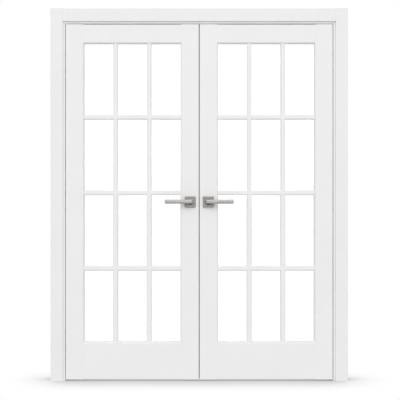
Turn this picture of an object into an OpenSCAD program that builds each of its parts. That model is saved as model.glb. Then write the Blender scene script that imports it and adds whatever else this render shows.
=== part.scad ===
// French doors: two glazed leaves in a cased frame, with levers, concealed hinges, latch and flush bolts.
// Each leaf swings towards the front (-Y).
// The origin is on the floor, under the middle of the whole assembly.

/* [Leaf] */
// Width of one leaf
leaf_w = 762; // [600:1:950]
// Height of a leaf
leaf_h = 2032; // [1700:1:2500]
// Thickness of a leaf
leaf_t = 40; // [38:1:50]
// Face width of the stiles, without the moulded edge
stile_face = 98; // [90:1:130]
// Face height of the top rail, without the moulded edge
top_rail_face = 104; // [90:1:200]
// Face height of the bottom rail, without the moulded edge
bottom_rail_face = 207; // [150:1:350]
// How far the rail faces lie behind the stile faces
rail_set_back = 1; // [0.5:0.1:2]
// How far the rail edges stop short of the stile ends
rail_drop = 1.5; // [0:0.1:3]
// Radius on the outer edges of stiles and rails
leaf_ease = 1.5; // [0.5:0.1:3]

/* [Moulded edge] */
// Width of the moulding round the glass
moulding_w = 8; // [7:0.5:12]
// Depth of the step where the moulding starts
quirk = 2.5; // [2:0.1:4]
// Width of the flat between the moulding's curve and the glass
fillet = 1.5; // [1:0.1:3]
// Depth of the glass groove
groove_d = 10; // [8:0.5:12]

/* [Glazing] */
// Panes across a leaf
panes_across = 3; // [1:1:4]
// Panes up a leaf
panes_up = 4; // [1:1:6]
// Width of a glazing bar where it meets the glass
bar_w = 28; // [22:1:40]
// Width of the moulding on each side of a bar
bar_moulding = 5.5; // [4:0.5:7]
// How far the bar faces lie behind the leaf face
bar_set = 5; // [4:0.5:7]
// Glass thickness
glass_t = 4; // [3:1:6]
// Gasket thickness on each side and edge of the glass
gasket_t = 1.5; // [1:0.1:2]

/* [Gaps] */
// Gap beside the hinge stile
hinge_gap = 3; // [2:0.5:5]
// Gap between the two leaves
meeting_gap = 4; // [3:0.5:6]
// Gap above the leaves
head_gap = 3; // [2:0.5:5]
// Gap under the leaves
floor_gap = 8; // [4:1:15]

/* [Frame] */
// Depth of the jambs, front to back
jamb_d = 116; // [100:1:200]
// Thickness of the jamb boards
jamb_t = 32; // [30:1:45]
// How far the stop stands out of the jamb
stop_w = 12; // [10:1:20]
// Gap between the back of a leaf and the stop
stop_gap = 3; // [2:0.5:5]
// Width of the side casings
casing_w = 70; // [50:1:120]
// Height of the head casing
head_casing_h = 73; // [50:1:120]
// How far the side casings stand above the head casing
casing_rise = 2; // [0:0.5:20]
// Thickness of the casings
casing_t = 12; // [10:1:20]
// Width of jamb edge left showing beside the casings
reveal = 12; // [8:1:15]
// Radius on the casing edges
casing_ease = 1.5; // [0.5:0.1:3]
// Thickness of the tongue on the back of a casing
tongue_t = 4; // [3:0.5:6]
// Length of that tongue
tongue_l = 10; // [8:1:15]
// Distance from a casing's inner edge to its tongue
tongue_in = 12; // [12:0.5:13]

/* [Hinges] */
// Distance from a leaf's end to the middle of its end hinges
hinge_end = 220; // [150:5:300]
// Height of a hinge plate
hinge_plate_h = 130; // [128:1:160]
// Thickness of a hinge plate
hinge_plate_t = 3.5; // [3:0.5:5]
// Width of a hinge, front to back
hinge_w = 24; // [24:1:28]
// Distance from the leaf face to the hinge
hinge_in = 3; // [2:0.5:4]
// Height of a hinge cup
cup_h = 88; // [86:1:90]
// Depth of a hinge cup
cup_d = 21.5; // [21:0.5:22]
// Inner radius of the curved link
link_r = 15; // [14:0.5:16]
// Thickness of the curved link
link_t = 7; // [5:0.5:7]
// Height of the curved link
link_h = 60; // [40:1:62]
// Angle that the link reaches into each cup
link_reach = 65; // [60:1:66]

/* [Handles] */
// Height of the lever axis above the floor
lever_z = 1023; // [900:1:1150]
// Distance from the leaf edge to the lever axis
backset = 50; // [45:1:55]
// Side of the square rosette
rosette = 62; // [60:1:70]
// Thickness of the rosette
rosette_t = 9; // [8:0.5:12]
// Wall of the rosette shell
rosette_wall = 1.6; // [1:0.1:2]
// Corner radius of the rosette
rosette_r = 1.5; // [1:0.1:4]
// Distance from the lever axis to its tip
lever_l = 143; // [110:1:160]
// Distance the lever runs past its axis
lever_tail = 15; // [12:1:20]
// Height of the lever bar
lever_h = 24; // [22:1:28]
// Thickness of the lever bar
lever_t = 12; // [8:0.5:14]
// How far the lever stands out of the leaf
lever_out = 58; // [50:1:70]
// Radius on the lever's long edges
lever_r = 2; // [1:0.1:4]
// Radius of the lever neck
neck_r = 9.5; // [9:0.1:10]
// Side of the square spindle
spindle = 8; // [7:1:8]
// Spacing of the handle's through bolts
handle_bolt_span = 38; // [38:1:44]
// Radius of a through bolt
handle_bolt_r = 2; // [1.5:0.5:2.5]

/* [Latch] */
// Width of the latch, strike and bolt plates
plate_w = 18; // [16:1:18]
// Thickness of those plates
plate_t = 2.5; // [2:0.5:3]
// Height of the latch plate
latch_plate_h = 180; // [160:5:220]
// Height of the latch case
case_h = 84; // [84:1:100]
// Depth of the latch case
case_d = 75; // [75:1:78]
// Width of the latch case, front to back
case_w = 16; // [15:1:18]
// Wall of the latch case
case_wall = 2; // [1.5:0.5:2.5]
// Height of the latch tongue
tongue_h = 18; // [16:1:18]
// Travel of the latch tongue
tongue_travel = 10; // [8:1:12]
// Radius of the follower
follower_r = 12; // [11:0.5:12]
// Height of the strike plate
strike_h = 90; // [70:5:120]

/* [Flush bolts] */
// Distance from the meeting edge to a bolt's axis
bolt_in = 19; // [18.5:0.5:20]
// Radius of a flush bolt
bolt_r = 4; // [3:0.5:4.5]
// Height of a flush bolt's plate
bolt_plate_h = 170; // [150:5:200]
// Distance from the leaf's end to the plate
bolt_plate_end = 60; // [40:5:100]
// How far a drawn bolt lies inside the leaf's end
bolt_inset = 2; // [1:0.5:3]
// Travel of the top bolt
top_bolt_travel = 15; // [12:1:18]
// Travel of the bottom bolt
bottom_bolt_travel = 10; // [6:1:10]

/* [Fixings] */
// Radius of a dowel
dowel_r = 5; // [4:0.5:6]
// Length of a dowel
dowel_l = 90; // [60:5:110]
// Radius of a screw's head
screw_head = 4; // [3.5:0.1:4.5]
// Radius of a screw's shank
screw_r = 2; // [1.5:0.1:2.2]
// Length of a hinge screw
screw_l = 25; // [16:1:26]
// Length of a plate screw
plate_screw_l = 13; // [10:1:13]
// Radius of the wall fixing holes
wall_hole_r = 4.25; // [3:0.25:5]
// Number of wall fixing holes in each jamb
wall_holes = 4; // [2:1:6]
// Distance from the floor to the lowest wall fixing hole
wall_hole_end = 130; // [80:5:140]

/* [Clearances] */
// Between a jamb and its glued stop
glue_line = 0.1; // [0.05:0.05:0.2]
// Between glued, screwed or routed pieces
fit = 0.2; // [0.1:0.05:0.3]
// Between pieces that slide or turn
play = 0.3; // [0.2:0.05:0.4]
// Between a shaft and its bearing
bearing = 0.08; // [0.05:0.01:0.1]

/* [Hidden] */
$fn = 48;
ring_facets = 96;
arc_step = 1.5;
arc_least = 3;
// How far a cut runs past the face it starts from
past = 1;

// Across the opening
rebate_x = leaf_w + meeting_gap / 2 + hinge_gap;
stop_x = rebate_x - stop_w;
jamb_x = rebate_x + jamb_t;
casing_x = rebate_x + reveal;
// Up the opening
rebate_z = floor_gap + leaf_h + head_gap;
stop_z = rebate_z - stop_w;
jamb_top = rebate_z + jamb_t;
casing_z = rebate_z + reveal;
head_casing_top = casing_z + head_casing_h;
casing_top = head_casing_top + casing_rise;
// Through the wall
stop_y = leaf_t + stop_gap;
mid_y = leaf_t / 2;
depth_centre = (jamb_d + casing_t - lever_out) / 2;
// Glass opening inside a leaf, in leaf coordinates
sight = stile_face + moulding_w;
sight_bottom = bottom_rail_face + moulding_w;
sight_top = leaf_h - top_rail_face - moulding_w;
open_w = leaf_w - 2 * sight;
open_h = sight_top - sight_bottom;
pane_w = (open_w - (panes_across - 1) * bar_w) / panes_across;
pane_h = (open_h - (panes_up - 1) * bar_w) / panes_up;
groove_w = glass_t + 2 * gasket_t;
groove_y = mid_y - groove_w / 2;
glass_y = mid_y - glass_t / 2;
moulding_r = moulding_w - fillet;
arris = 0.5;
bar_fillet = 1;
bar_step = 0.8;
// Hinges
hinge_heights = [hinge_end, leaf_h / 2, leaf_h - hinge_end];
hinge_y = hinge_in + hinge_w / 2;
hinge_screw_z = hinge_plate_h / 2 - hinge_w / 2;
link_slack_turn = 2;
// Handles and latch, measured from the meeting edge and the lever axis
axis_x = leaf_w - backset;
axis_z = lever_z - floor_gap;
base_side = rosette - 2 * rosette_wall - fit;
base_t = rosette_t - rosette_wall - fit;
neck_start = 0.5;
spindle_end = 33;
spindle_room = 1;
set_screw_out = 24;
set_screw_r = 2.5;
set_screw_sink = 0.8;
leaf_hole_r = 9;
toe_l = 6;
toe_r = follower_r + toe_l;
toe_w = 5;
toe_clear = 1.5;
tongue_z = toe_r + toe_clear;
works_side = 1.3;
tongue_y = case_w - 2 * (case_wall + works_side);
tongue_head = 36;
tail_h = 11;
lug_x = 15;
lug_t = 4;
lug_drop = 6;
case_low = -30;
hub_r = 8;
strike_z = tongue_z + tongue_h / 2;
strike_room = 2.4;
case_mid = case_low + case_h / 2;
// Flush bolts
bolt_bore = bolt_r + play;
bolt_mid = bolt_plate_end + bolt_plate_h / 2;
thumb_w = 7;
thumb_h = 12;
thumb_sink = 0.5;
housing_w = 12;
housing_wall = 2;
housing_d = bolt_in + bolt_bore + housing_wall;
housing_h = 120;
housing_end = 6;
// Seals
kerf_w = 3;
kerf_d = 5;
meeting_seal_w = 4;
meeting_seal_in = 9.5;
meeting_seal_y = leaf_t - meeting_seal_in;
meeting_seal_clear = 0.4;
seal_reach = leaf_w + hinge_gap / 2 + meeting_gap - meeting_seal_clear;
seal_root_in = 0.5;
seal_corner = sqrt(pow(seal_reach, 2) - pow(meeting_seal_y + meeting_seal_w, 2));
meeting_seal_out = seal_corner - leaf_w - hinge_gap / 2;
frame_seal_w = 6;
frame_seal_in = 1;
frame_seal_t = stop_gap - play;
// Fixings
dowel_edge = 30;
bolt_head_t = 2.2;
bolt_head_r = 2 * handle_bolt_r;
bolt_head_sink = 0.4;
screw_tip_r = 0.3;
screw_tip_l = 2 * screw_r;
wall_hole_in = 8;
wall_hole_step = (rebate_z - 2 * wall_hole_end) / (wall_holes - 1);
wall_hole_y = stop_y - wall_hole_in;
corner_screw_in = 30;
head_strike_l = 60;
head_strike_t = 1.5;
head_strike_screw = 20;
head_slot_l = 18;
bolt_room = 1;
head_slot_w = 2 * (bolt_bore + bolt_room);
head_pocket_l = 22;
head_pocket_w = 14;
// Colours
WOOD = [0.94, 0.94, 0.93];
TIMBER = [0.8, 0.66, 0.48];
SATIN = [0.71, 0.69, 0.67];
STEEL = [0.6, 0.61, 0.62];
RUBBER = [0.75, 0.75, 0.74];
SEAL = [0.17, 0.17, 0.17];
CLEAR = [0.8, 0.9, 0.92, 0.4];

// Points of an arc about [x, y], from one angle to another
function arc_steps(r, sweep) = max(arc_least, ceil(PI * r * abs(sweep) / 180 / arc_step));
function arc(x, y, r, from, to) = let (n = arc_steps(r, to - from))
    [for (i = [0:n]) [x + r * cos(from + (to - from) * i / n), y + r * sin(from + (to - from) * i / n)]];
function turned(points) = [for (p = points) [p[1], p[0]]];
function flipped(points, t) = [for (i = [len(points) - 1:-1:0]) [points[i][0], t - points[i][1]]];

// Front half of a moulded edge section: x runs from the outer edge to the glass, y from front to back
function front_edge(face, back, start) = concat(
    arc(start + leaf_ease, back + leaf_ease, leaf_ease, 180, 270),
    arc(face - arris, back + arris, arris, 270, 360),
    arc(face, quirk + moulding_r, moulding_r, 270, 360),
    [[face + moulding_w, quirk + moulding_r]]);
// The whole section, with or without its glass groove
function edge_section(face, back, start, grooved = true) =
    let (front = front_edge(face, back, start), lip = face + moulding_w, floor = lip - groove_d)
    concat(front,
        grooved ? [[lip, groove_y], [floor, groove_y],
            [floor, groove_y + groove_w], [lip, groove_y + groove_w]] : [],
        flipped(front, leaf_t));
// A glazing bar on the front of the glass, centred on x = 0
function bar_half() =
    let (r = bar_moulding - bar_fillet, face = bar_w / 2 - bar_moulding, step = bar_set + bar_step)
    concat([[bar_w / 2, glass_y], [bar_w / 2, step + r]],
        arc(face, step + r, r, 0, -90),
        [[face, bar_set]]);
function bar_section() = let (half = bar_half()) concat(half,
    [for (i = [len(half) - 1:-1:0]) [-half[i][0], half[i][1]]]);
// The round corners of a rectangle w by h about [0, 0]
function round_corners(w, h, r) = [for (i = [0, 1, 2, 3]) each arc(
    (i == 0 || i == 3 ? 1 : -1) * (w / 2 - r), (i < 2 ? 1 : -1) * (h / 2 - r), r, 90 * i, 90 * i + 90)];
// A plate outline with round ends, width along x and height along y
function slot_outline(w, h) = concat(
    arc(0, h / 2 - w / 2, w / 2, 0, 180),
    arc(0, w / 2 - h / 2, w / 2, 180, 360));

// Placing
module shop_frame() {
    translate([0, -depth_centre, 0]) children();
}
// From the frame to the left leaf's own coordinates
module in_frame() {
    translate([-leaf_w - meeting_gap / 2, 0, floor_gap]) children();
}
module on_right() {
    shop_frame() mirror([1, 0, 0]) children();
}
module left_leaf() {
    shop_frame() in_frame() children();
}
module right_leaf() {
    mirror([1, 0, 0]) left_leaf() children();
}
module to_top() {
    translate([0, 0, leaf_h]) mirror([0, 0, 1]) children();
}
module both_ends() {
    children();
    to_top() children();
}
module to_meeting_edge() {
    translate([leaf_w, 0, 0]) mirror([1, 0, 0]) children();
}
module to_back_face() {
    translate([0, leaf_t, 0]) mirror([0, 1, 0]) children();
}
// Extrudes a y-z outline, given as [y, z], along +x
module along_x(length, points) {
    rotate([90, 0, 90]) linear_extrude(length) polygon(points);
}
// A flat plate or pocket with round ends, sunk from x = 0 towards +x and centred on y and z
module routed(w, h, d, extra = 0) {
    translate([-extra, 0, 0]) along_x(d + 2 * extra, slot_outline(w + 2 * extra, h + 2 * extra));
}

// Fixings: along +x, with the head's face at x = 0
module screw(length) {
    rotate([0, 90, 0]) {
        cylinder(r1 = screw_head, r2 = screw_r, h = screw_head - screw_r);
        cylinder(r = screw_r, h = length - screw_tip_l);
        translate([0, 0, length - screw_tip_l]) cylinder(r1 = screw_r, r2 = screw_tip_r, h = screw_tip_l);
    }
}
module screw_hole(length) {
    rotate([0, 90, 0]) {
        translate([0, 0, -past])
            cylinder(r1 = screw_head + past + fit, r2 = screw_r + fit, h = past + screw_head - screw_r);
        cylinder(r = screw_r + fit, h = length + fit);
    }
}

// Hinge, at its own axis: x = 0 is the middle of the gap, the leaf is at +x, the jamb at -x
module hinge_cup_body(extra = 0) {
    translate([hinge_gap / 2, hinge_y, 0]) {
        routed(hinge_w, hinge_plate_h, hinge_plate_t, extra);
        routed(hinge_w, cup_h, cup_d, extra);
    }
}
module link_ring(extra) {
    turn = link_reach + (extra > 0 ? link_slack_turn : 0);
    translate([0, 0, -link_h / 2 - extra]) rotate([0, 0, 90 - turn])
        rotate_extrude(angle = 2 * turn, $fn = ring_facets)
            translate([link_r - extra, 0]) square([link_t + 2 * extra, link_h + 2 * extra]);
}
module hinge_cup() {
    color(STEEL) difference() {
        hinge_cup_body();
        link_ring(play);
        hinge_screws() screw_hole(screw_l);
    }
}
module hinge_screws() {
    for (side = [-1, 1]) translate([hinge_gap / 2, hinge_y, side * hinge_screw_z]) children();
}
module at_leaf_hinges() {
    for (z = hinge_heights) translate([-hinge_gap / 2, 0, z]) children();
}
// The jamb's half of each hinge, still in leaf coordinates
module at_jamb_hinges() {
    for (z = hinge_heights) translate([-hinge_gap / 2, 0, z]) mirror([1, 0, 0]) children();
}

// Leaf woodwork, in leaf coordinates: hinge edge at x = 0, front face at y = 0
module stile_blank(grooved = true) {
    linear_extrude(leaf_h) polygon(edge_section(stile_face, 0, 0, grooved));
}
module rail_blank(face) {
    start = sight - groove_d + fit;
    translate([start, 0, 0])
        along_x(leaf_w - 2 * start, turned(edge_section(face, rail_set_back, rail_drop)));
}
module dowels(extra = 0) {
    half = dowel_l / 2 + extra;
    heights = [
        rail_drop + dowel_edge, bottom_rail_face / 2, bottom_rail_face - dowel_edge,
        leaf_h - top_rail_face + dowel_edge, leaf_h - rail_drop - dowel_edge];
    color(TIMBER) for (z = heights) for (x = [stile_face, leaf_w - stile_face])
        translate([x - half, mid_y, z]) rotate([0, 90, 0]) cylinder(r = dowel_r + extra, h = 2 * half);
}
module coped_rail(face, top) {
    color(WOOD) difference() {
        if (top) translate([0, 0, leaf_h]) mirror([0, 0, 1]) rail_blank(face);
        else rail_blank(face);
        translate([fit / 2, 0, 0]) stile_blank();
        to_meeting_edge() translate([fit / 2, 0, 0]) stile_blank();
        dowels(fit / 2);
    }
}
module hinge_stile() {
    color(WOOD) difference() {
        stile_blank();
        at_leaf_hinges() hinge_cup_body(fit);
        at_leaf_hinges() hinge_screws() screw_hole(screw_l);
        dowels(fit / 2);
    }
}
// Holes that both meeting stiles have for the handle
module handle_holes() {
    translate([axis_x, -past, axis_z]) rotate([-90, 0, 0]) cylinder(r = leaf_hole_r, h = leaf_t + 2 * past);
    at_handle_bolts() translate([0, -past, 0]) rotate([-90, 0, 0])
        cylinder(r = handle_bolt_r + fit, h = leaf_t + 2 * past);
}
module at_handle_bolts() {
    for (side = [-1, 1]) translate([axis_x + side * handle_bolt_span / 2, 0, axis_z]) children();
}
module meeting_stile() {
    color(WOOD) difference() {
        to_meeting_edge() stile_blank();
        handle_holes();
        dowels(fit / 2);
        children();
    }
}
module glass() {
    over = groove_d - gasket_t;
    color(CLEAR) translate([sight - over, glass_y, sight_bottom - over])
        cube([open_w + 2 * over, glass_t, open_h + 2 * over]);
}
module glass_gasket() {
    color(RUBBER) difference() {
        translate([sight - groove_d, groove_y, sight_bottom - groove_d])
            cube([open_w + 2 * groove_d, groove_w, open_h + 2 * groove_d]);
        translate([sight, groove_y - past, sight_bottom]) cube([open_w, groove_w + 2 * past, open_h]);
        glass();
    }
}
module grille() {
    over = moulding_w - past;
    color(WOOD) difference() {
        union() {
            for (i = [1:1:panes_across - 1])
                translate([sight + i * pane_w + i * bar_w - bar_w / 2, 0, sight_bottom - over])
                    linear_extrude(open_h + 2 * over) polygon(bar_section());
            for (i = [1:1:panes_up - 1])
                translate([sight - over, 0, sight_bottom + i * pane_h + i * bar_w - bar_w / 2])
                    along_x(open_w + 2 * over, turned(bar_section()));
        }
        translate([fit / 2, 0, 0]) stile_blank(false);
        to_meeting_edge() translate([fit / 2, 0, 0]) stile_blank(false);
        along_x(leaf_w, turned(edge_section(bottom_rail_face + fit / 2, rail_set_back, rail_drop, false)));
        translate([0, 0, leaf_h]) mirror([0, 0, 1])
            along_x(leaf_w, turned(edge_section(top_rail_face + fit / 2, rail_set_back, rail_drop, false)));
    }
}

// Handle, in leaf coordinates, on the front face
module square_outline(side) {
    polygon(round_corners(side, side, rosette_r));
}
// Puts a flat outline on the leaf face at the lever axis, rising towards the viewer
module on_axis() {
    translate([axis_x, 0, axis_z]) rotate([90, 0, 0]) children();
}
module handle_base() {
    color(STEEL) difference() {
        on_axis() linear_extrude(base_t) square_outline(base_side);
        on_axis() translate([0, 0, -past]) cylinder(r = neck_r + bearing, h = base_t + 2 * past);
        handle_bolts(fit);
    }
}
module handle_bases() {
    handle_base();
    to_back_face() handle_base();
}
// Bolts through both bases, with a head sunk in each
module handle_bolts(extra = 0) {
    seat = base_t - bolt_head_t - bolt_head_sink;
    sunk = extra > 0 ? past : 0;
    color(STEEL) at_handle_bolts() rotate([-90, 0, 0]) {
        translate([0, 0, -seat]) cylinder(r = handle_bolt_r + extra, h = leaf_t + 2 * seat);
        translate([0, 0, -seat - bolt_head_t - sunk])
            cylinder(r = bolt_head_r + extra, h = bolt_head_t + sunk);
        translate([0, 0, leaf_t + seat]) cylinder(r = bolt_head_r + extra, h = bolt_head_t + sunk);
    }
}
module rosette_shell() {
    color(SATIN) on_axis() difference() {
        linear_extrude(rosette_t) square_outline(rosette);
        translate([0, 0, -past]) linear_extrude(rosette_t - rosette_wall + past)
            square_outline(rosette - 2 * rosette_wall);
        cylinder(r = neck_r + play, h = rosette_t + past);
    }
}
module lever() {
    color(SATIN) difference() {
        union() {
            translate([axis_x + lever_tail, lever_t / 2 - lever_out, axis_z]) mirror([1, 0, 0])
                along_x(lever_l + lever_tail, round_corners(lever_t, lever_h, lever_r));
            on_axis() translate([0, 0, neck_start])
                cylinder(r = neck_r, h = lever_out - lever_t / 2 - neck_start);
        }
        on_axis() translate([-spindle / 2 - fit / 2, -spindle / 2 - fit / 2, -past])
            cube([spindle + fit, spindle + fit, spindle_end + spindle_room + past]);
        translate([0, -set_screw_out, 0]) set_screw_at(fit / 2, past);
    }
}
// A grub screw under the lever neck, pressing on the spindle
module set_screw_at(extra, out) {
    translate([axis_x, 0, axis_z - neck_r - out])
        cylinder(r = set_screw_r + extra, h = neck_r + out - spindle / 2);
}
module set_screws() {
    color(STEEL) for (y = [-set_screw_out, leaf_t + set_screw_out]) translate([0, y, 0])
        set_screw_at(0, -set_screw_sink);
}
module spindle_bar() {
    color(STEEL) translate([axis_x - spindle / 2, -spindle_end, axis_z - spindle / 2])
        cube([spindle, leaf_t + 2 * spindle_end, spindle]);
}
module leaf_hinge_cups() {
    at_leaf_hinges() hinge_cup();
}

// Plates and pockets in the meeting edge: x = 0 is the edge and +x runs into the leaf
module on_edge(z) {
    translate([leaf_w, mid_y, z]) mirror([1, 0, 0]) children();
}
module plate_screws(h, z) {
    for (side = [-1, 1]) on_edge(z + side * (h / 2 - plate_w / 2)) children();
}
module latch_case_space(extra) {
    on_edge(axis_z + case_mid) routed(plate_w, latch_plate_h, plate_t, extra);
    translate([leaf_w - case_d - extra, mid_y - case_w / 2 - extra, axis_z + case_low - extra])
        cube([case_d + extra, case_w + 2 * extra, case_h + 2 * extra]);
}
module case_body() {
    inner_w = case_w - 2 * case_wall;
    color(STEEL) difference() {
        latch_case_space(0);
        translate([leaf_w - case_d + case_wall, mid_y - inner_w / 2, axis_z + case_low + case_wall])
            cube([case_d - case_wall - plate_t, inner_w, case_h - 2 * case_wall]);
        translate([leaf_w - plate_t - past, mid_y - tongue_y / 2 - play, axis_z + tongue_z - play])
            cube([plate_t + 2 * past, tongue_y + 2 * play, tongue_h + 2 * play]);
        translate([axis_x, 0, axis_z]) rotate([-90, 0, 0]) cylinder(r = hub_r + bearing, h = leaf_t);
        at_handle_bolts() rotate([-90, 0, 0]) cylinder(r = handle_bolt_r + fit, h = leaf_t);
        plate_screws(latch_plate_h, axis_z + case_mid) screw_hole(plate_screw_l);
    }
}
module follower() {
    color(STEEL) difference() {
        translate([axis_x, mid_y, axis_z]) rotate([90, 0, 0]) {
            cylinder(r = hub_r, h = case_w, center = true);
            cylinder(r = follower_r, h = tongue_y, center = true);
            translate([-toe_w / 2, 0, -tongue_y / 2]) cube([toe_w, toe_r, tongue_y]);
        }
        translate([axis_x - spindle / 2 - fit / 2, 0, axis_z - spindle / 2 - fit / 2])
            cube([spindle + fit, leaf_t, spindle + fit]);
    }
}
// At rest the tongue is drawn in, with its face level with the plate
module tongue() {
    tail = backset + lug_x + lug_t;
    color(SATIN) translate([leaf_w, mid_y - tongue_y / 2, axis_z + tongue_z]) mirror([1, 0, 0]) {
        cube([tongue_head, tongue_y, tongue_h]);
        cube([tail, tongue_y, tail_h]);
        translate([tail - lug_t, 0, -lug_drop]) cube([lug_t, tongue_y, lug_drop + tail_h]);
    }
}
module strike_space(extra) {
    on_edge(axis_z + strike_z) routed(plate_w, strike_h, plate_t, extra);
}
module strike_pocket() {
    w = tongue_y + 2 * strike_room;
    h = tongue_h + 2 * strike_room;
    d = tongue_travel + 2 * strike_room;
    translate([leaf_w - d, mid_y - w / 2, axis_z + strike_z - h / 2]) cube([d + past, w, h]);
}
module strike() {
    color(SATIN) difference() {
        strike_space(0);
        strike_pocket();
        plate_screws(strike_h, axis_z + strike_z) screw_hole(plate_screw_l);
    }
}

// Bottom flush bolt, in leaf coordinates; the top one is its mirror image
module bolt_space(extra) {
    translate([0, 0, bolt_mid]) {
        on_edge(0) routed(plate_w, bolt_plate_h, plate_t, extra);
        translate([leaf_w - housing_d - extra, mid_y - housing_w / 2 - extra, -housing_h / 2 - extra])
            cube([housing_d + extra, housing_w + 2 * extra, housing_h + 2 * extra]);
    }
}
module bolt_channel(from, to) {
    translate([leaf_w - bolt_in, mid_y, from]) cylinder(r = bolt_bore, h = to - from);
}
module bolt_holder(travel) {
    color(SATIN) difference() {
        bolt_space(0);
        bolt_channel(bolt_mid - housing_h / 2 - past, bolt_mid + housing_h / 2 - housing_end);
        translate([leaf_w - bolt_in, mid_y - thumb_w / 2 - play, bolt_mid - thumb_h / 2 - travel - play])
            cube([bolt_in + past, thumb_w + 2 * play, thumb_h + travel + 2 * play]);
        plate_screws(bolt_plate_h, bolt_mid) screw_hole(plate_screw_l);
    }
}
module bolt_rod() {
    color(SATIN) {
        translate([leaf_w - bolt_in, mid_y, bolt_inset])
            cylinder(r = bolt_r, h = bolt_mid + thumb_h - bolt_inset);
        translate([leaf_w - bolt_in, mid_y - thumb_w / 2, bolt_mid - thumb_h / 2])
            cube([bolt_in - thumb_sink, thumb_w, thumb_h]);
    }
}
module bolt_cuts() {
    bolt_space(fit);
    bolt_channel(-past, bolt_mid);
    plate_screws(bolt_plate_h, bolt_mid) screw_hole(plate_screw_l);
}

// Seal between the leaves: a strip with its root in the left leaf's edge
module meeting_seal_root(extra) {
    y = meeting_seal_y + (meeting_seal_w - kerf_w) / 2;
    translate([leaf_w - kerf_d, y, -extra]) cube([kerf_d + seal_root_in, kerf_w, leaf_h + 2 * extra]);
}
module meeting_seal() {
    color(SEAL) {
        meeting_seal_root(0);
        translate([leaf_w, meeting_seal_y, 0]) cube([meeting_seal_out, meeting_seal_w, leaf_h]);
    }
}

// Frame
// Groove or tongue behind a casing, as a strip dx wide from the casing's inner edge
module casing_tongue_space(extra) {
    for (y = [-extra - past, jamb_d - tongue_l - extra]) translate([tongue_in - extra, y])
        square([tongue_t + 2 * extra, tongue_l + 2 * extra + past]);
}
module side_seal_root(extra, from) {
    translate([-stop_x - frame_seal_in - frame_seal_w / 2 - kerf_w / 2, stop_y - extra, from])
        cube([kerf_w, kerf_d + extra, stop_z - from]);
}
module head_seal_root(extra) {
    translate([-rebate_x, stop_y - extra, stop_z + frame_seal_in + frame_seal_w / 2 - kerf_w / 2])
        cube([2 * rebate_x, kerf_d + extra, kerf_w]);
}
module side_jamb() {
    color(WOOD) difference() {
        translate([-jamb_x, 0, 0]) cube([jamb_t, jamb_d, jamb_top]);
        translate([-casing_x, 0, -past]) mirror([1, 0, 0])
            linear_extrude(jamb_top + 2 * past) casing_tongue_space(fit);
        hinge_cuts_in_jamb();
        for (i = [0:1:wall_holes - 1])
            translate([-jamb_x - past, wall_hole_y, wall_hole_end + i * wall_hole_step]) rotate([0, 90, 0])
                cylinder(r = wall_hole_r, h = jamb_t + 2 * past);
        corner_screws() screw_hole(jamb_t + screw_l);
    }
    color(WOOD) difference() {
        translate([glue_line - rebate_x, stop_y, 0]) cube([stop_w - glue_line, jamb_d - stop_y, stop_z]);
        side_seal_root(past, -past);
    }
}
module hinge_cuts_in_jamb() {
    in_frame() at_jamb_hinges() {
        hinge_cup_body(fit);
        hinge_screws() screw_hole(screw_l);
    }
}
module corner_screws() {
    for (y = [corner_screw_in, jamb_d - corner_screw_in])
        translate([-jamb_x, y, rebate_z + jamb_t / 2]) children();
}
module head_jamb() {
    color(WOOD) difference() {
        translate([-rebate_x, 0, rebate_z]) cube([2 * rebate_x, jamb_d, jamb_t]);
        translate([-rebate_x - past, 0, casing_z]) rotate([90, 0, 90]) linear_extrude(2 * (rebate_x + past))
            mirror([1, -1, 0]) casing_tongue_space(fit);
        for (side = [0, 1]) mirror([side, 0, 0]) corner_screws() screw_hole(jamb_t + screw_l);
        head_strike_space(fit);
        head_pocket(head_pocket_l, head_pocket_w, top_bolt_travel + 2 * bolt_room);
        head_strike_screws() screw_hole(plate_screw_l);
    }
    color(WOOD) difference() {
        translate([-rebate_x, stop_y, stop_z]) cube([2 * rebate_x, jamb_d - stop_y, stop_w - glue_line]);
        head_seal_root(past);
    }
}
// Strike for the top bolt, let into the underside of the head
module at_head_strike() {
    translate([-meeting_gap / 2 - bolt_in, mid_y, rebate_z]) children();
}
module head_pocket(length, width, depth) {
    at_head_strike() translate([-length / 2, -width / 2, -past]) cube([length, width, depth + past]);
}
module head_strike_space(extra) {
    at_head_strike() rotate([0, -90, 0]) routed(plate_w, head_strike_l, head_strike_t, extra);
}
module head_strike_screws() {
    for (side = [-1, 1])
        at_head_strike() translate([side * head_strike_screw, 0, 0]) rotate([0, -90, 0]) children();
}
module head_strike() {
    color(SATIN) difference() {
        head_strike_space(0);
        head_pocket(head_slot_l, head_slot_w, head_strike_t + past);
        head_strike_screws() screw_hole(plate_screw_l);
    }
}
// A casing's section: x from its inner edge, y from the jamb's face
module casing_section(width) {
    polygon(concat(
        [[0, 0], [width, 0]],
        arc(width - casing_ease, casing_ease - casing_t, casing_ease, 0, -90),
        arc(casing_ease, casing_ease - casing_t, casing_ease, -90, -180)));
}
module casing_tongue() {
    translate([tongue_in, -past]) square([tongue_t, tongue_l + past]);
}
module side_casing() {
    color(WOOD) translate([-casing_x, 0, 0]) mirror([1, 0, 0]) {
        linear_extrude(casing_top) casing_section(casing_w);
        linear_extrude(jamb_top) casing_tongue();
    }
}
module head_casing() {
    color(WOOD) translate([0, 0, casing_z]) rotate([90, 0, 90]) mirror([1, -1, 0]) {
        translate([0, 0, -casing_x]) linear_extrude(2 * casing_x) casing_section(head_casing_h);
        translate([0, 0, -rebate_x]) linear_extrude(2 * rebate_x) casing_tongue();
    }
}
module to_back_of_jamb() {
    translate([0, jamb_d, 0]) mirror([0, 1, 0]) children();
}
module side_seal() {
    translate([-stop_x - frame_seal_in - frame_seal_w, stop_y - frame_seal_t, floor_gap])
        cube([frame_seal_w, frame_seal_t, stop_z - floor_gap]);
    side_seal_root(seal_root_in, floor_gap);
}
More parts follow.
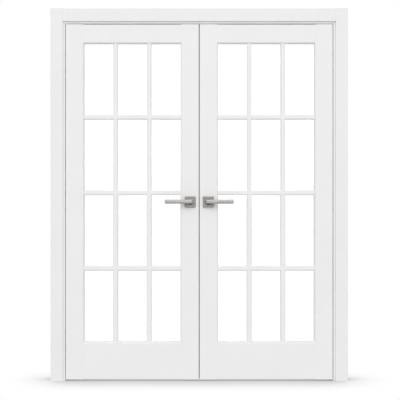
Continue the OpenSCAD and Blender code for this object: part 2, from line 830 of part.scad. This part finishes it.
module frame_seal() {
    color(SEAL) {
        side_seal();
        mirror([1, 0, 0]) side_seal();
        translate([-rebate_x, stop_y - frame_seal_t, stop_z + frame_seal_in])
            cube([2 * rebate_x, frame_seal_t, frame_seal_w]);
        head_seal_root(seal_root_in);
    }
}
module jamb_hinge_cups() {
    in_frame() at_jamb_hinges() hinge_cup();
}
module frame_screws() {
    color(STEEL) {
        for (side = [0, 1]) mirror([side, 0, 0]) {
            in_frame() at_jamb_hinges() hinge_screws() screw(screw_l);
            corner_screws() screw(jamb_t + screw_l);
        }
        head_strike_screws() screw(plate_screw_l);
    }
}
module leaf_screws() {
    color(STEEL) at_leaf_hinges() hinge_screws() screw(screw_l);
    handle_bolts();
}
module left_leaf_screws() {
    leaf_screws();
    color(STEEL) {
        plate_screws(strike_h, axis_z + strike_z) screw(plate_screw_l);
        both_ends() plate_screws(bolt_plate_h, bolt_mid) screw(plate_screw_l);
    }
}
module right_leaf_screws() {
    leaf_screws();
    color(STEEL) plate_screws(latch_plate_h, axis_z + case_mid) screw(plate_screw_l);
}
module hinge_links() {
    color(STEEL) at_leaf_hinges() link_ring(0);
}
module flush_bolt_plates() {
    bolt_holder(bottom_bolt_travel);
    to_top() bolt_holder(top_bolt_travel);
}

// The meeting stiles differ between the leaves
module left_meeting_stile() {
    meeting_stile() {
        strike_space(fit);
        strike_pocket();
        plate_screws(strike_h, axis_z + strike_z) screw_hole(plate_screw_l);
        both_ends() bolt_cuts();
        meeting_seal_root(past);
    }
}
module right_meeting_stile() {
    meeting_stile() {
        latch_case_space(fit);
        plate_screws(latch_plate_h, axis_z + case_mid) screw_hole(plate_screw_l);
    }
}

shop_frame() side_jamb();  // left_jamb
on_right() side_jamb();  // right_jamb
shop_frame() head_jamb();
shop_frame() side_casing();  // left_front_casing
on_right() side_casing();  // right_front_casing
shop_frame() head_casing();  // head_front_casing
shop_frame() to_back_of_jamb() side_casing();  // left_back_casing
on_right() to_back_of_jamb() side_casing();  // right_back_casing
shop_frame() to_back_of_jamb() head_casing();  // head_back_casing
shop_frame() frame_seal();
shop_frame() jamb_hinge_cups();  // left_jamb_hinge_cups
on_right() jamb_hinge_cups();  // right_jamb_hinge_cups
shop_frame() frame_screws();
shop_frame() head_strike();  // head_bolt_strike
left_leaf() hinge_links();  // left_hinge_links
right_leaf() hinge_links();  // right_hinge_links
left_leaf() hinge_stile();  // left_hinge_stile
left_leaf() left_meeting_stile();
left_leaf() coped_rail(top_rail_face, true);  // left_top_rail
left_leaf() coped_rail(bottom_rail_face, false);  // left_bottom_rail
left_leaf() glass();  // left_glass
left_leaf() glass_gasket();  // left_glass_gasket
left_leaf() grille();  // left_front_grille
left_leaf() to_back_face() grille();  // left_back_grille
left_leaf() dowels();  // left_dowels
left_leaf() leaf_hinge_cups();  // left_leaf_hinge_cups
left_leaf() left_leaf_screws();
left_leaf() handle_bases();  // left_handle_bases
left_leaf() rosette_shell();  // left_front_rosette
left_leaf() to_back_face() rosette_shell();  // left_back_rosette
left_leaf() lever();  // left_front_lever
left_leaf() to_back_face() lever();  // left_back_lever
left_leaf() spindle_bar();  // left_spindle
left_leaf() set_screws();  // left_set_screws
right_leaf() hinge_stile();  // right_hinge_stile
right_leaf() right_meeting_stile();
right_leaf() coped_rail(top_rail_face, true);  // right_top_rail
right_leaf() coped_rail(bottom_rail_face, false);  // right_bottom_rail
right_leaf() glass();  // right_glass
right_leaf() glass_gasket();  // right_glass_gasket
right_leaf() grille();  // right_front_grille
right_leaf() to_back_face() grille();  // right_back_grille
right_leaf() dowels();  // right_dowels
right_leaf() leaf_hinge_cups();  // right_leaf_hinge_cups
right_leaf() right_leaf_screws();
right_leaf() handle_bases();  // right_handle_bases
right_leaf() rosette_shell();  // right_front_rosette
right_leaf() to_back_face() rosette_shell();  // right_back_rosette
right_leaf() lever();  // right_front_lever
right_leaf() to_back_face() lever();  // right_back_lever
right_leaf() spindle_bar();  // right_spindle
right_leaf() set_screws();  // right_set_screws
left_leaf() meeting_seal();
left_leaf() strike();  // latch_strike
left_leaf() flush_bolt_plates();
left_leaf() to_top() bolt_rod();  // top_flush_bolt
left_leaf() bolt_rod();  // bottom_flush_bolt
right_leaf() case_body();  // latch_case
right_leaf() follower();  // latch_follower
right_leaf() tongue();  // latch_tongue
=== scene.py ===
"""French doors: white painted leaves and frame, clear glass and satin nickel levers, in a plain studio."""

import math

import bmesh
import bpy
import numpy as np
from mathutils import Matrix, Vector


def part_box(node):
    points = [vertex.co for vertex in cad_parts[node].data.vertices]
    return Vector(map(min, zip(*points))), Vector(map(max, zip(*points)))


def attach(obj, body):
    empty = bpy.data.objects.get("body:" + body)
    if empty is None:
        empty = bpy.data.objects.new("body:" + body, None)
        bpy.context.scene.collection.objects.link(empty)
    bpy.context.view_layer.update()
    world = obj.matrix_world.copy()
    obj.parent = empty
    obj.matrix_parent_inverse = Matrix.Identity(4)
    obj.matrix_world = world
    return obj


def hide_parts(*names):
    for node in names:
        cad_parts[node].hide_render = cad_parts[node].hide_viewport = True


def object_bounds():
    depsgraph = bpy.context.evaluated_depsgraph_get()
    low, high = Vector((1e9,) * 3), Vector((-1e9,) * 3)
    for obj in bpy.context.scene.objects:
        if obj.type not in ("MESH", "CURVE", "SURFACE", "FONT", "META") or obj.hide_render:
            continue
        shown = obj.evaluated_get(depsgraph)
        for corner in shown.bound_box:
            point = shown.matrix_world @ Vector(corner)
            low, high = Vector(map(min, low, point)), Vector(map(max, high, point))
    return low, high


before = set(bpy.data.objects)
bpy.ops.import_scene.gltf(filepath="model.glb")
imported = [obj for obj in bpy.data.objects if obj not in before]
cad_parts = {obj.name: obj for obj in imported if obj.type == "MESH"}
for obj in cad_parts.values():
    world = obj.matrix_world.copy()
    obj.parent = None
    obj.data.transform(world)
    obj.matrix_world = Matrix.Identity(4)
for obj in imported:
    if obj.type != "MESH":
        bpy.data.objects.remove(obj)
cad_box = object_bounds()
MM = 0.001
TURN = 2 * math.pi


# ---------------------------------------------------------------- surfaces

SAME_POINT = 1e-7      # points closer than this, in metres, are one


def link(made):
    """Puts a new object into the scene."""
    bpy.context.scene.collection.objects.link(made)
    return made


def mesh_object(name, points, faces):
    """Makes a smooth object at the origin from an array of points and a list of faces."""
    mesh = bpy.data.meshes.new(name)
    mesh.from_pydata(np.asarray(points, float).reshape(-1, 3).tolist(), [], faces)
    mesh.validate()
    mesh.shade_smooth()
    return link(bpy.data.objects.new(name, mesh))


def grid_faces(rows, columns, ring):
    """Quads between neighbouring rows of a grid whose columns wrap round. In a ring the rows wrap too."""
    strips = rows if ring else rows - 1
    row, column = np.meshgrid(np.arange(strips), np.arange(columns), indexing="ij")
    below, beside = (row + 1) % rows, (column + 1) % columns
    return np.stack([row * columns + column, row * columns + beside,
                     below * columns + beside, below * columns + column], -1).reshape(-1, 4).tolist()


def lofted(name, outlines, ring=False):
    """A closed skin over outlines, an array (outline, point, 3). In a ring the last outline meets the first;
    otherwise each end is closed by its own outline as one face."""
    outlines = np.asarray(outlines, float)
    count, around = outlines.shape[:2]
    faces = grid_faces(count, around, ring)
    if not ring:
        faces += [list(range(around))[::-1], list(range((count - 1) * around, count * around))]
    made = mesh_object(name, outlines, faces)
    face_outwards(made)
    return made


def face_outwards(made):
    """Merges the doubles of a closed mesh and turns its faces outwards."""
    shape = bmesh.new()
    shape.from_mesh(made.data)
    bmesh.ops.remove_doubles(shape, verts=shape.verts, dist=SAME_POINT)
    bmesh.ops.recalc_face_normals(shape, faces=shape.faces)
    shape.to_mesh(made.data)
    shape.free()


def smooth_by_angle(made, degrees):
    """Smooth faces, with a sharp edge where two faces meet at more than the angle."""
    made.data.shade_smooth()
    made.data.set_sharp_from_angle(angle=math.radians(degrees))


def joined(whole, part):
    """Adds a closed part to a closed whole, as one closed skin, and removes the part."""
    union = whole.modifiers.new("union", "BOOLEAN")
    union.operation = "UNION"
    union.object = part
    union.solver = "EXACT"
    shown = whole.evaluated_get(bpy.context.evaluated_depsgraph_get())
    skin = bpy.data.meshes.new_from_object(shown)
    whole.modifiers.clear()
    whole.data = skin
    bpy.data.objects.remove(part)


def rounded_rectangle(width, height, radius, per_corner=8, per_side=0):
    """Points of a rectangle with quarter-circle corners, anticlockwise, as an array (point, 2), with
    per_side more points spread evenly along each straight side."""
    corner = np.arange(4)
    sign_x = np.where((corner == 0) | (corner == 3), 1, -1)[:, None]
    sign_y = np.where(corner < 2, 1, -1)[:, None]
    angle = (corner[:, None] + np.linspace(0, 1, per_corner)[None, :]) * TURN / 4
    x = sign_x * (width / 2 - radius) + radius * np.cos(angle)
    y = sign_y * (height / 2 - radius) + radius * np.sin(angle)
    corners = np.stack([x, y], -1)
    share = np.linspace(0, 1, per_side + 2)[1:-1, None]
    sides = corners[:, -1:] * (1 - share) + np.roll(corners, -1, axis=0)[:, :1] * share
    return np.concatenate([corners, sides], axis=1).reshape(-1, 2)


def finished(made, material, body, node):
    """Gives a new piece its material and its body, and hides the CAD node that it stands for."""
    made.data.materials.append(material)
    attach(made, body)
    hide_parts(node)


# ---------------------------------------------------------------- materials

NOISE_LOW, NOISE_HIGH = 0.3, 0.7      # noise seldom leaves this range, which is spread over 0 to 1
EVEN = (1.0, 1.0, 1.0)


def linear(hex_colour):
    """An sRGB hex colour such as "#B5B1AE" as linear RGBA."""
    parts = [int(hex_colour[i:i + 2], 16) / 255 for i in (1, 3, 5)]
    return [p / 12.92 if p <= 0.04045 else ((p + 0.055) / 1.055) ** 2.4 for p in parts] + [1.0]


def add(tree, kind, settings=None, **links):
    """Adds one node. settings are its properties and the values of its inputs, in order. links lead its
    inputs from other nodes, each from that node's first live output, or from an output given itself."""
    made = tree.nodes.new("ShaderNode" + kind)
    for name, value in (settings or {}).items():
        if hasattr(made, name):
            setattr(made, name, value)
        else:
            next(put for put in made.inputs if put.enabled and put.name == name).default_value = value
    for name, source in links.items():
        if isinstance(source, bpy.types.Node):
            source = next(out for out in source.outputs if out.enabled)
        name = name.replace("_", " ")
        tree.links.new(source, next(put for put in made.inputs if put.enabled and put.name == name))
    return made


def empty_tree(owner):
    """The cleared node tree of a material or world."""
    owner.use_nodes = True
    owner.node_tree.nodes.clear()
    return owner.node_tree


def material_from(name, settings, colour, gloss, relief):
    """A material with one Principled shader. Each pattern is noise in the piece's own metres, stretched along
    an axis where the real marks run that way.
    colour: blotch size in mm, two hex colours, stretch. gloss: blotch size in mm, two roughnesses, stretch.
    relief: rows of grain size in mm, depth in mm, strength, stretch, laid over each other."""
    material = bpy.data.materials.new(name)
    tree = empty_tree(material)
    place = add(tree, "TexCoord").outputs["Object"]

    def pattern(size_mm, stretch, detail=3.0):
        """A number from 0 to 1 that wanders in blotches about size_mm across."""
        where = add(tree, "Mapping", {"Scale": stretch}, Vector=place)
        blotches = add(tree, "TexNoise", {"Scale": 1 / (size_mm * MM), "Detail": detail}, Vector=where)
        return add(tree, "MapRange", {"From Min": NOISE_LOW, "From Max": NOISE_HIGH}, Value=blotches)

    size, first, second, stretch = colour
    shade = add(tree, "Mix", {"data_type": "RGBA", "A": linear(first), "B": linear(second)},
                Factor=pattern(size, stretch))
    size, low, high, stretch = gloss
    rough = add(tree, "Mix", {"A": low, "B": high}, Factor=pattern(size, stretch))
    normal = {}
    for size, depth, strength, stretch in relief:
        normal = {"Normal": add(tree, "Bump", {"Strength": strength, "Distance": depth * MM},
                                Height=pattern(size, stretch, detail=2.0), **normal)}
    shader = add(tree, "BsdfPrincipled", settings, Base_Color=shade, Roughness=rough, **normal)
    add(tree, "OutputMaterial", Surface=shader)
    return material


def along(axis, share):
    """A stretch that draws a pattern out along one axis: its marks are 1 / share times as long as wide."""
    return tuple(share if name == axis else 1.0 for name in "xyz")


def painted_board(name, light, dark, grain):
    """White satin paint, sprayed on a primed board: an even sheen, a fine orange peel and a trace of the
    board's own long waves along its grain."""
    return material_from(name, {"IOR": 1.5, "Specular IOR Level": 0.45},
                         colour=(140, light, dark, EVEN), gloss=(9, 0.34, 0.44, EVEN),
                         relief=[(2.2, 0.02, 0.5, EVEN), (14, 0.05, 0.4, along(grain, 0.04))])


def satin_nickel(name, light, dark, brushed):
    """Brushed and lacquered nickel plate: a warm grey metal whose scratches run one way and spread its
    shine. The real scratches are about 0.05 mm apart; these are 0.35 mm, so that they show."""
    return material_from(name, {"Metallic": 1.0},
                         colour=(25, light, dark, EVEN),
                         gloss=(0.35, 0.30, 0.46, along(brushed, 0.03)),
                         relief=[(0.35, 0.01, 0.5, along(brushed, 0.03))])


def zinc(name, light, dark, smoothest, roughest):
    """Zinc, cast or plated: a slightly blotchy metal with a grain of about half a millimetre."""
    return material_from(name, {"Metallic": 1.0},
                         colour=(6, light, dark, EVEN), gloss=(1.5, smoothest, roughest, EVEN),
                         relief=[(0.6, 0.01, 0.4, EVEN)])


def rubber(name, light, dark, lines):
    """Extruded rubber: matt, with a faint grain, drawn out into die lines where lines stretches it."""
    return material_from(name, {"IOR": 1.5, "Specular IOR Level": 0.3},
                         colour=(30, light, dark, EVEN), gloss=(3, 0.60, 0.75, EVEN),
                         relief=[(0.8, 0.02, 0.4, lines)])


def clear_float_glass():
    """Float glass: quite clear and smooth. Its colour lies in its thickness, so it has no pattern."""
    material = bpy.data.materials.new("clear_float_glass")
    tree = empty_tree(material)
    shader = add(tree, "BsdfPrincipled", {"Base Color": linear("#FEFFFF"), "Roughness": 0.0, "IOR": 1.52,
                                          "Transmission Weight": 1.0})
    add(tree, "OutputMaterial", Surface=shader)
    return material


upright_paint = painted_board("white_paint_on_uprights", "#EEEEEE", "#ECECEC", "z")
level_paint = painted_board("white_paint_on_rails", "#EEEEEE", "#ECECEC", "x")
frame_paint = painted_board("white_paint_on_frame", "#EDEDED", "#EBEBEB", "z")
glass = clear_float_glass()
lever_nickel = satin_nickel("satin_nickel_brushed_along", "#A3A09D", "#989592", "x")
# The same satin nickel as the levers, given a darker colour: painted shade, matched to the rosettes in the
# shade under the levers. The strikes, bolts and latch share it.
plate_nickel_with_painted_shade = satin_nickel("satin_nickel_brushed_up_with_painted_shade", "#8A8785", "#817E7B", "z")
# Cast and left matt: a dull grey.
hinge_zinc = zinc("matt_zinc_casting", "#B9B9B8", "#A9A9A8", 0.40, 0.55)
# Cast zinc made black and dull: painted shade, so that the base seen in the gap round the neck reads as a
# dark shadow.
black_zinc_painted_shade = zinc("black_zinc_as_painted_shade", "#3A3A39", "#30302F", 0.50, 0.65)
# Plated bright on steel: a cold shine that clouds a little.
screw_steel = zinc("bright_zinc_plate", "#C4C5C6", "#B2B3B5", 0.25, 0.40)
# Black rubber: the seals' own colour, made as dark as it is so that the gap lines read dark, which is partly
# painted shade.
black_seal_and_gap_shade = rubber("black_rubber_seal_and_gap_shade", "#2A2A2A", "#242424", along("z", 0.05))
# White rubber: hardly parts from the paint beside it.
white_gasket = rubber("white_glazing_gasket", "#E2E2E1", "#DADAD9", EVEN)
# Beech dowel: pale, with short brown flecks along its length.
beech = material_from("bare_beech", {"IOR": 1.5},
                      colour=(1.2, "#D9BC8F", "#B98F5F", along("x", 0.1)),
                      gloss=(1.2, 0.55, 0.70, EVEN),
                      relief=[(1.2, 0.02, 0.4, along("x", 0.1))])

# The last row with a word from the node's name gives its finish, so that a hinge cup in a jamb is metal.
FINISHES = [
    (("casing", "jamb"), frame_paint),
    (("stile",), upright_paint),
    (("rail", "grille"), level_paint),
    (("seal",), black_seal_and_gap_shade),
    (("_glass",), glass),
    (("gasket",), white_gasket),
    (("dowels",), beech),
    (("lever",), lever_nickel),
    (("rosette", "strike", "plates", "flush_bolt", "tongue", "latch_case"), plate_nickel_with_painted_shade),
    (("cups", "links"), hinge_zinc),
    (("bases",), black_zinc_painted_shade),
    (("screws", "spindle", "follower"), screw_steel),
]

for name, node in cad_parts.items():
    node.data.materials.clear()
    fitting = [finish for words, finish in FINISHES if any(word in name for word in words)]
    node.data.materials.append(fitting[-1])


# ---------------------------------------------------------------- handles

ROSETTE_CORNER = 1.5 * MM      # radius of the plate's corners
ROSETTE_EDGE = 1.2 * MM        # radius of the edge round its face
ROSETTE_LAND = 1.0 * MM        # flat between that edge and the last square outline
LEAST_CORNER = 0.3 * MM        # radius that an inset corner never falls under
CORNER_STEPS, SIDE_STEPS = 6, 14       # points in each corner and along each side
EDGE_STEPS = 6                 # outlines round the edge
# The dish round the neck, from the plate's face inwards: radius, and depth below the face, in mm. Its last
# row is the plate's inner face.
ROSETTE_DISH = [(16.2, 0.0), (15.4, 0.05), (14.9, 0.3), (14.7, 0.7), (14.6, 1.2), (14.6, 1.5),
                (20.0, 1.6)]
# The hollow behind the plate: radius, and height above the plate's back, in mm.
ROSETTE_HOLLOW = [(24, 1.0), (26, 0.0)]

BAR_T = 12 * MM                # thickness of a lever's bar
BAR_EDGE = 2.6 * MM            # radius of its long edges
BAR_END = 2.2 * MM             # radius by which it draws in at each end
LEAST_EDGE = 0.4 * MM          # radius that an inset long edge never falls under
BAR_TAIL = 15 * MM             # how far it runs past its axis
BAR_RISE = 2.2 * MM            # how far its middle lies above its axis
END_STEPS, BAR_STEPS = 7, 12   # sections in each rounded end, and between the ends
NECK_SIDES = 48                # points round the neck
NECK_GAP = 0.5 * MM            # least distance from the neck's end to the bar's middle
# The neck, from the leaf outwards: distance and radius, in mm.
NECK = [(0, 9.2), (0.3, 9.5), (6.5, 9.5), (8.5, 9.5), (14, 9.35), (22, 9.1), (30, 9.0), (36, 9.1), (40, 9.4),
        (43, 9.9), (44.6, 10.4), (45.6, 10.9), (46.5, 11.2)]


def front_and_back(node, outward):
    """The node's outermost and innermost y, where outward is -1 or 1."""
    low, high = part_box(node)
    return (low.y, high.y) if outward < 0 else (high.y, low.y)


def rosette(name, node, body, outward):
    """A square plate with softened edges and a round dish for the neck. Each row of its skin is an outline
    carried from the plate's back edge over its face and into the dish: rounded squares outside, circles
    inside."""
    low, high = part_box(node)
    centre = (low + high) / 2
    side, depth = high.x - low.x, high.y - low.y
    back = front_and_back(node, outward)[1]

    def square(inset):
        across, radius = side - 2 * inset, max(ROSETTE_CORNER - inset, LEAST_CORNER)
        return rounded_rectangle(across, across, radius, CORNER_STEPS, SIDE_STEPS)

    def at_height(outline, height):
        return np.column_stack([centre.x + outline[:, 0], np.full(len(outline), back + outward * height),
                                centre.z + outline[:, 1]])

    around = np.arctan2(square(0)[:, 1], square(0)[:, 0])
    circle = np.column_stack([np.cos(around), np.sin(around)])
    rows = [at_height(square(0), 0)]
    for angle in np.linspace(0, TURN / 4, EDGE_STEPS):
        rows.append(at_height(square(ROSETTE_EDGE * (1 - math.cos(angle))),
                              depth - ROSETTE_EDGE + ROSETTE_EDGE * math.sin(angle)))
    rows.append(at_height(square(ROSETTE_EDGE + ROSETTE_LAND), depth))
    rows += [at_height(circle * radius * MM, depth - below * MM) for radius, below in ROSETTE_DISH]
    rows += [at_height(circle * radius * MM, above * MM) for radius, above in ROSETTE_HOLLOW]
    made = lofted(name, rows, ring=True)
    smooth_by_angle(made, degrees=35)
    finished(made, plate_nickel_with_painted_shade, body, node)


def lever(name, node, body, outward, reach):
    """A flat bar on a round neck. The bar's sections are rounded rectangles that draw in by a quarter circle
    at each end; the neck is a circle whose radius narrows in the middle and flares where it meets the bar."""
    low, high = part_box(node)
    front, root = front_and_back(node, outward)
    tip, tail = (low.x, high.x) if reach < 0 else (high.x, low.x)
    bar_h, axis_z = high.z - low.z, (low.z + high.z) / 2

    def rounded_end(start, way):
        """Sections from the bar's end inwards."""
        sections = []
        for angle in np.linspace(0, TURN / 4, END_STEPS):
            inset = BAR_END * (1 - math.sin(angle))
            outline = rounded_rectangle(BAR_T - 2 * inset, bar_h - 2 * inset,
                                        max(BAR_EDGE - inset, LEAST_EDGE))
            x = start + way * BAR_END * (1 - math.cos(angle))
            sections.append(np.column_stack([np.full(len(outline), x),
                                             front - outward * BAR_T / 2 + outline[:, 0],
                                             axis_z + BAR_RISE + outline[:, 1]]))
        return sections

    tail_end, tip_end = rounded_end(tail, reach), rounded_end(tip, -reach)[::-1]
    share = np.linspace(0, 1, BAR_STEPS + 2)[1:-1, None, None]
    between = tail_end[-1] * (1 - share) + tip_end[0] * share
    bar = lofted(name, np.concatenate([tail_end, between, tip_end]))

    out, radius = np.array(NECK).T * MM
    out = out * min(1.0, (abs(front - root) - BAR_T / 2 - NECK_GAP) / out[-1])
    turn = np.linspace(0, TURN, NECK_SIDES, endpoint=False)
    neck = np.stack(np.broadcast_arrays(tail + reach * BAR_TAIL + radius[:, None] * np.cos(turn),
                                        root + outward * out[:, None],
                                        axis_z + radius[:, None] * np.sin(turn)), -1)
    joined(bar, lofted(name + "_neck", neck))
    smooth_by_angle(bar, degrees=40)
    finished(bar, lever_nickel, body, node)


for side, reach in (("left", -1), ("right", 1)):
    for face, outward in (("front", -1), ("back", 1)):
        rosette(f"{side}_{face}_rosette_plate", f"{side}_{face}_rosette", f"{side}_leaf", outward)
        lever(f"{side}_{face}_lever_handle", f"{side}_{face}_lever", f"{side}_levers", outward, reach)


# ---------------------------------------------------------------- seals

BULB_W, BULB_REACH = 6.0 * MM, 7.7 * MM      # width, and how far it stands out of the stop
BULB_WALL = 0.3 * MM           # how much narrower the round bulb is than its foot, on each side
FOOT_T = 1.2 * MM              # thickness of the foot
BULB_POINTS = 17               # points round the bulb
SIDE_X = 759 * MM              # distance of the side strips' middle from the middle of the doorway
SIDE_START = 8 * MM            # height at which they start
CORNER_GAP = 4 * MM            # how far under the head strip's middle they end
# The barbed root in the stop's kerf: across, and into the stop, in mm.
BARBED_ROOT = [(-1.0, 0.0), (-1.0, 1.2545), (-1.45, 1.6727), (-1.0, 2.7182), (-1.45, 3.1364), (-0.8, 4.6),
               (0.8, 4.6), (1.45, 3.1364), (1.0, 2.7182), (1.45, 1.6727), (1.0, 1.2545), (1.0, 0.0)]
# The seal between the leaves: across the gap from the left leaf's edge, and back from its face, in mm.
# Its root is barbed and its lip crosses the gap. Real rubber bends as a leaf goes past, so the lip touches
# the right leaf's edge when both are shut.
LIP_OUTLINE = [(-4.6, -2.8), (-4.0, -3.4), (-3.2, -2.9), (-2.4, -3.4), (0.0, -3.0), (0.0, -3.9), (0.5, -3.9),
               (1.3, -3.3), (2.4, -2.3), (3.4, -1.1), (3.95, -0.2), (3.7, 0.0), (3.3, -0.2), (2.4, -1.1),
               (1.3, -1.7), (0.6, -1.5), (0.5, -0.2), (0.0, -0.2), (0.0, -1.0), (-2.4, -0.6), (-3.2, -1.1),
               (-4.0, -0.6), (-4.6, -1.2)]
LIP_ROOT = 5.0 * MM            # how much of its width lies inside the left leaf


def strip(outline, axis, start, end):
    """The two ends of a bar: the outline, (point, 2) in metres, at both ends of a straight way along x
    or z."""
    across, y = np.asarray(outline, float).T
    ends = [(np.full(len(y), place), y, across) if axis == "x" else (across, y, np.full(len(y), place))
            for place in (start, end)]
    return np.array(ends).transpose(0, 2, 1)


def seal_piece(name, strips, node, body):
    """One piece made of strips, each with its own outline."""
    parts = [lofted(f"{name}_{number}", ends) for number, ends in enumerate(strips)]
    made = parts[0]
    with bpy.context.temp_override(active_object=made, selected_editable_objects=parts):
        bpy.ops.object.join()
    made.name = name
    smooth_by_angle(made, degrees=40)
    finished(made, black_seal_and_gap_shade, body, node)


def bulb_outline(middle, stop_face):
    """A barbed root, a flat foot against the stop and a round bulb in front of it: half a circle, stretched
    towards the leaf. The outline lies evenly about middle; y runs from the stop towards the leaf."""
    half, foot_face = BULB_W / 2, stop_face - FOOT_T
    turn = np.linspace(0, TURN / 2, BULB_POINTS)
    bulb = np.column_stack([middle + (half - BULB_WALL) * np.cos(turn),
                            foot_face - (BULB_REACH - FOOT_T) * np.sin(turn)])
    left_foot = [(middle - half, foot_face), (middle - half, stop_face)]
    right_foot = [(middle + half, stop_face), (middle + half, foot_face)]
    root = np.array(BARBED_ROOT) * MM + (middle, stop_face)
    return np.concatenate([bulb, left_foot, root, right_foot])


low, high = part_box("frame_seal")
stop_face, head_z = low.y + BULB_REACH, high.z - BULB_W / 2
seal_piece("frame_bulb_seal",
           [strip(bulb_outline(-SIDE_X, stop_face), "z", SIDE_START, head_z - CORNER_GAP),
            strip(bulb_outline(SIDE_X, stop_face), "z", SIDE_START, head_z - CORNER_GAP),
            strip(bulb_outline(head_z, stop_face), "x", low.x, high.x)],
           "frame_seal", "frame")

low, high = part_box("meeting_seal")
seal_piece("meeting_lip_seal",
           [strip(np.array(LIP_OUTLINE) * MM + (low.x + LIP_ROOT, high.y), "z", low.z, high.z)],
           "meeting_seal", "left_leaf")


# ---------------------------------------------------------------- studio

THROUGH_GLASS = 1.07           # brightness of the backdrop behind a pane, which takes a little of it away
FLOOR_LIGHT = 0.55             # brightness of the floor, as it lights the object
LOW_LIGHT = 0.42               # brightness round the object at eye height, as it lights the object
HIGH_LIGHT = 0.85              # and overhead
FLOOR_HALF = 30.0              # half the floor's side, in metres
PAINTED_SHADOW_REACH = 0.34             # how near something has to stand to put the painted shadow on the floor, in metres
PAINTED_SHADOW_DARKEST = 0.2            # the floor's brightness in its painted shadow, under something that touches it
OPEN_ENOUGH = 0.97             # share of open sky at which the floor is fully bright

EYE_X, EYE_Z = 4.5 * MM, 1034 * MM      # the camera's place, at about the height of the levers
EYE_DISTANCE, VIEW_WIDTH = 6.0, 2.2835  # distance to the casings' face, and the width seen there, in metres
SENSOR = 36.0                  # width of the sensor, in mm
LEVERS_BEFORE_CASINGS = 46 * MM        # how far the levers stand out past the casings' face


def lens_sees(tree, **varying):
    """A brightness by kind of ray: A lights the object, B goes straight to the lens, and a ray that came
    through a pane gets a little more. A and B are plain unless another node gives them."""
    ray = add(tree, "LightPath").outputs
    direct = add(tree, "Mix", {"A": FLOOR_LIGHT, "B": 1.0}, Factor=ray["Is Camera Ray"], **varying)
    return add(tree, "Mix", {"B": THROUGH_GLASS}, Factor=ray["Is Transmission Ray"], A=direct)


def studio_floor():
    """A wide, plain, pale floor that glows evenly, with a painted shadow: its glow dims softly where the
    object stands close over it.
    """
    corners = np.array([(-1, -1, 0), (1, -1, 0), (1, 1, 0), (-1, 1, 0)]) * FLOOR_HALF
    made = mesh_object("studio_floor", corners, [(0, 1, 2, 3)])
    material = bpy.data.materials.new("pale_studio_floor")
    tree = empty_tree(material)
    # Painted shadow: ambient occlusion dims the floor's glow, as the lens sees it, near the object.
    painted_shadow_ao = add(tree, "AmbientOcclusion", {"samples": 24, "Distance": PAINTED_SHADOW_REACH}).outputs["AO"]
    shade = add(tree, "MapRange", {"From Max": OPEN_ENOUGH, "To Min": PAINTED_SHADOW_DARKEST}, Value=painted_shadow_ao)
    shader = add(tree, "BsdfPrincipled", {"Base Color": linear("#000000"), "Roughness": 0.9,
                                          "Specular IOR Level": 0.0, "Emission Color": linear("#FFFFFF")},
                 Emission_Strength=lens_sees(tree, B=shade))
    add(tree, "OutputMaterial", Surface=shader)
    made.data.materials.append(material)


def studio_world():
    """White all round for the lens. What lights the object is a softer dome: bright overhead and dimmer
    towards the horizon, so that ledges are light, undersides are darker and metal shows its shape."""
    world = bpy.data.worlds.new("white_studio")
    bpy.context.scene.world = world
    tree = empty_tree(world)
    height = add(tree, "SeparateXYZ", Vector=add(tree, "TexCoord").outputs["Generated"]).outputs["Z"]
    dome = add(tree, "MapRange", {"To Min": LOW_LIGHT, "To Max": HIGH_LIGHT}, Value=height)
    background = add(tree, "Background", {"Color": linear("#FFFFFF")}, Strength=lens_sees(tree, A=dome))
    add(tree, "OutputWorld", Surface=background)


def soft_sun(name, towards, spread, strength):
    """A sun lamp whose light travels along towards, as soft as a disc that many degrees wide."""
    lamp = bpy.data.lights.new(name, "SUN")
    lamp.angle = math.radians(spread)
    lamp.energy = strength
    made = link(bpy.data.objects.new(name, lamp))
    made.rotation_euler = Vector(towards).to_track_quat("-Z", "Y").to_euler()


def camera():
    """Level, straight on, at about the height of the levers, through a long lens."""
    lens = bpy.data.cameras.new("camera")
    lens.sensor_width = SENSOR
    lens.lens = SENSOR * EYE_DISTANCE / VIEW_WIDTH
    made = link(bpy.data.objects.new("camera", lens))
    casing_face = cad_box[0].y + LEVERS_BEFORE_CASINGS
    made.location = (EYE_X, casing_face - EYE_DISTANCE, EYE_Z)
    made.rotation_euler = (TURN / 4, 0, 0)
    bpy.context.scene.camera = made


studio_floor()
studio_world()
soft_sun("front_key", towards=(0.0, 0.92, -0.39), spread=46, strength=1.36)
soft_sun("back_fill", towards=(0.0, -0.84, -0.54), spread=36, strength=0.65)
camera()
bpy.context.scene.view_settings.view_transform = "Standard"
bpy.context.scene.view_settings.look = "None"
